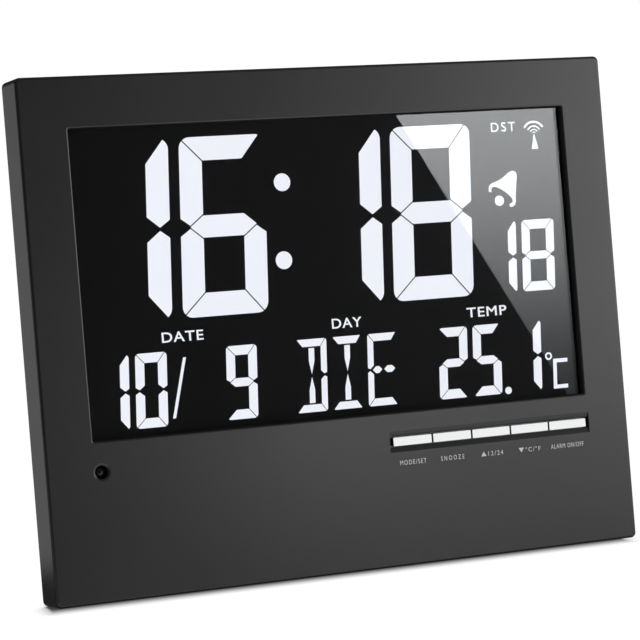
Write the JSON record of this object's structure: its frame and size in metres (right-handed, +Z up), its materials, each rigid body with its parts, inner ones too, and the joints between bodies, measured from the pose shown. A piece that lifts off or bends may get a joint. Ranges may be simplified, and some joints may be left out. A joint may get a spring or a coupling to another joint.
{
  "type": "radio-controlled clock",
  "caption": "Radio-controlled alarm clock with a wide backlit display, a row of keys below it and a fold-out leg behind.",
  "frame": {"origin": "on the table, below the middle of the clock's width and depth", "axes": "+X to the right seen from the front, +Y towards the back, +Z up; the face looks along -Y and leans back"},
  "size_m": [0.231, 0.0792, 0.1823],
  "materials": {
    "case_plastic": "fine satin grain, dark grey",
    "rear_plastic": "coarser spark grain, black",
    "window_acrylic": "clear, polished",
    "black_film": "smooth black film",
    "display_glass": "clear glass",
    "clear_acrylic": "clear acrylic with printed dots",
    "lit_segment": "backlit white, even",
    "white_sheet": "white film",
    "frame_plastic": "plain moulded",
    "key_silver": "silver-white lacquer",
    "plunger_plastic": "plain moulded",
    "sensor_dark": "smoked epoxy",
    "board_laminate": "green solder mask",
    "chip_plastic": "moulded epoxy",
    "lamp_white": "phosphor resin",
    "contact_rubber": "soft black rubber",
    "can_metal": "drawn can",
    "screw_steel": "zinc plated",
    "contact_nickel": "nickel plated spring steel",
    "cell_jacket": "printed film jacket, plain",
    "ferrite": "sintered ceramic",
    "copper_wire": "enamelled copper",
    "cable_jacket": "flexible jacket"
  },
  "bodies": {
    "case": {"front_case": "case_plastic", "rear_cover": "rear_plastic", "display_window": "window_acrylic", "lcd_front_polariser": "black_film", "lcd_rear_polariser": "black_film", "window_tape": "black_film", "lcd_front_glass": "display_glass", "lcd_rear_glass": "display_glass", "light_guide": "clear_acrylic", "time_digits": "lit_segment", "second_digits": "lit_segment", "date_digits": "lit_segment", "temperature_digits": "lit_segment", "diffuser_sheet": "white_sheet", "reflector_sheet": "white_sheet", "lcd_frame": "frame_plastic", "key_switches": "frame_plastic", "light_sensor": "sensor_dark", "main_board": "board_laminate", "key_board": "board_laminate", "sensor_board": "board_laminate", "receiver_board": "board_laminate", "backlight_board": "board_laminate", "controller_chip": "chip_plastic", "receiver_chip": "chip_plastic", "buzzer": "chip_plastic", "temperature_sensor": "chip_plastic", "backlight_leds": "lamp_white", "contact_strip": "contact_rubber", "clock_crystal": "can_metal", "board_capacitors": "can_metal", "case_screws": "screw_steel", "frame_screws": "screw_steel", "board_screws": "screw_steel", "small_board_screws": "screw_steel", "stand_pin": "screw_steel", "battery_plates": "contact_nickel", "battery_springs": "contact_nickel", "battery_1": "cell_jacket", "battery_2": "cell_jacket", "battery_3": "cell_jacket", "ferrite_rod": "ferrite", "antenna_winding": "copper_wire", "antenna_wires": "copper_wire", "key_cable": "cable_jacket", "battery_wires": "cable_jacket"},
    "mode_key": {"mode_button": "key_silver", "mode_plunger": "plunger_plastic"},
    "snooze_key": {"snooze_button": "key_silver", "snooze_plunger": "plunger_plastic"},
    "up_key": {"up_button": "key_silver", "up_plunger": "plunger_plastic"},
    "down_key": {"down_button": "key_silver", "down_plunger": "plunger_plastic"},
    "alarm_key": {"alarm_button": "key_silver", "alarm_plunger": "plunger_plastic"},
    "door": {"battery_door": "rear_plastic"},
    "leg": {"stand": "rear_plastic", "stand_pad": "contact_rubber"}
  },
  "joints": [
    {"name": "mode_press", "type": "slide", "parent": "case", "child": "mode_key", "axis": [0, 0.981, -0.1942], "range_m": [0, 0.0005], "stiffness_N_per_m": 2000},
    {"name": "snooze_press", "type": "slide", "parent": "case", "child": "snooze_key", "axis": [0, 0.981, -0.1942], "range_m": [0, 0.0005], "stiffness_N_per_m": 2000},
    {"name": "up_press", "type": "slide", "parent": "case", "child": "up_key", "axis": [0, 0.981, -0.1942], "range_m": [0, 0.0005], "stiffness_N_per_m": 2000},
    {"name": "down_press", "type": "slide", "parent": "case", "child": "down_key", "axis": [0, 0.981, -0.1942], "range_m": [0, 0.0005], "stiffness_N_per_m": 2000},
    {"name": "alarm_press", "type": "slide", "parent": "case", "child": "alarm_key", "axis": [0, 0.981, -0.1942], "range_m": [0, 0.0005], "stiffness_N_per_m": 2000},
    {"name": "door_slide", "type": "slide", "parent": "case", "child": "door", "axis": [1, 0, 0], "range_m": [0, 0.066]},
    {"name": "leg_fold", "type": "hinge", "parent": "case", "child": "leg", "pos_m": [0, 0.00991, 0.10724], "axis": [1, 0, 0], "range_deg": [-25.14, 0]}
  ]
}
